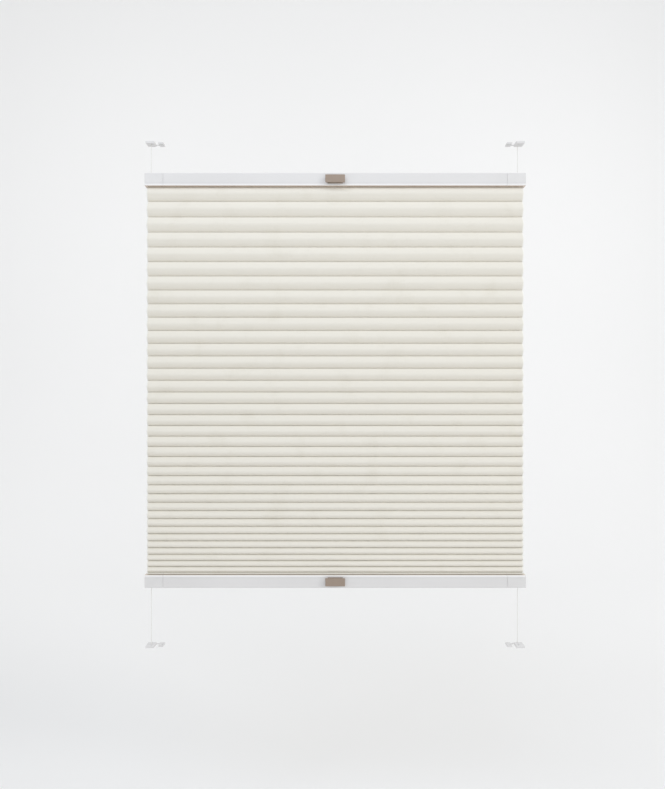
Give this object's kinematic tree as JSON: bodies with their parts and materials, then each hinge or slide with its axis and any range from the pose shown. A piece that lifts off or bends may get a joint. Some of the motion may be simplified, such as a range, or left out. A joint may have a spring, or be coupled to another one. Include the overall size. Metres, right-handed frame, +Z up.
{
  "type": "pleated blind",
  "caption": "Free-hanging honeycomb pleated blind between movable rails, held on tensioned cords in a window's glazing recess.",
  "frame": {"origin": "middle of the top shoes' screw holes, in the plane of the upper glazing bead", "axes": "+Z up, +X along the rails, the room side faces -Y"},
  "size_m": [0.61, 0.0305, 0.814],
  "materials": {
    "white_aluminium": "satin white powder coat",
    "white_plastic": "matte white moulding",
    "taupe_plastic": "satin taupe moulding",
    "cell_fabric": "cream nonwoven polyester",
    "cord_white": "braided polyester",
    "spring_steel": "bright zinc"
  },
  "bodies": {
    "shoes_and_cords": {"shoe_base_top_left": "white_plastic", "cord_block_top_left": "white_plastic", "cord_stop_top_left": "white_plastic", "shoe_base_top_right": "white_plastic", "cord_block_top_right": "white_plastic", "cord_stop_top_right": "white_plastic", "shoe_base_bottom_left": "white_plastic", "cord_block_bottom_left": "white_plastic", "cord_stop_bottom_left": "white_plastic", "shoe_base_bottom_right": "white_plastic", "cord_block_bottom_right": "white_plastic", "cord_stop_bottom_right": "white_plastic", "cord_from_top_left": "cord_white", "cord_to_bottom_left": "cord_white", "cord_from_top_right": "cord_white", "cord_to_bottom_right": "cord_white"},
    "top_rail": {"top_rail": "white_aluminium", "top_end_cap_left": "white_plastic", "top_cord_eyelet_left": "white_plastic", "top_end_cap_right": "white_plastic", "top_cord_eyelet_right": "white_plastic", "top_fabric_strip": "white_plastic", "top_handle": "taupe_plastic", "honeycomb_fabric": "cell_fabric"},
    "bottom_rail": {"bottom_rail": "white_aluminium", "bottom_end_cap_left": "white_plastic", "bottom_cord_eyelet_left": "white_plastic", "bottom_end_cap_right": "white_plastic", "bottom_cord_eyelet_right": "white_plastic", "bottom_fabric_strip": "white_plastic", "bottom_handle": "taupe_plastic"},
    "spring_left": {"tension_spring_left": "spring_steel"},
    "spring_right": {"tension_spring_right": "spring_steel"}
  },
  "joints": [
    {"name": "top_rail_slide", "type": "slide", "parent": "shoes_and_cords", "child": "top_rail", "axis": [0, 0, 1], "range_m": [-0.245, 0.044], "deforming": ["honeycomb_fabric", "cord_from_top_left", "cord_from_top_right"]},
    {"name": "bottom_rail_slide", "type": "slide", "parent": "shoes_and_cords", "child": "bottom_rail", "axis": [0, 0, 1], "range_m": [-0.088, 0.225], "deforming": ["honeycomb_fabric", "cord_from_top_left", "cord_from_top_right", "cord_to_bottom_left", "cord_to_bottom_right"]},
    {"name": "left_spring_slide", "type": "slide", "parent": "bottom_rail", "child": "spring_left", "axis": [-1, -0.0068, 0], "range_m": [-0.088, 0.225]},
    {"name": "right_spring_slide", "type": "slide", "parent": "bottom_rail", "child": "spring_right", "axis": [1, 0.0068, 0], "range_m": [-0.088, 0.225]}
  ],
  "couplings": [
    {"joint": "left_spring_slide", "follows": "bottom_rail_slide", "ratio": 1},
    {"joint": "right_spring_slide", "follows": "bottom_rail_slide", "ratio": 1}
  ]
}
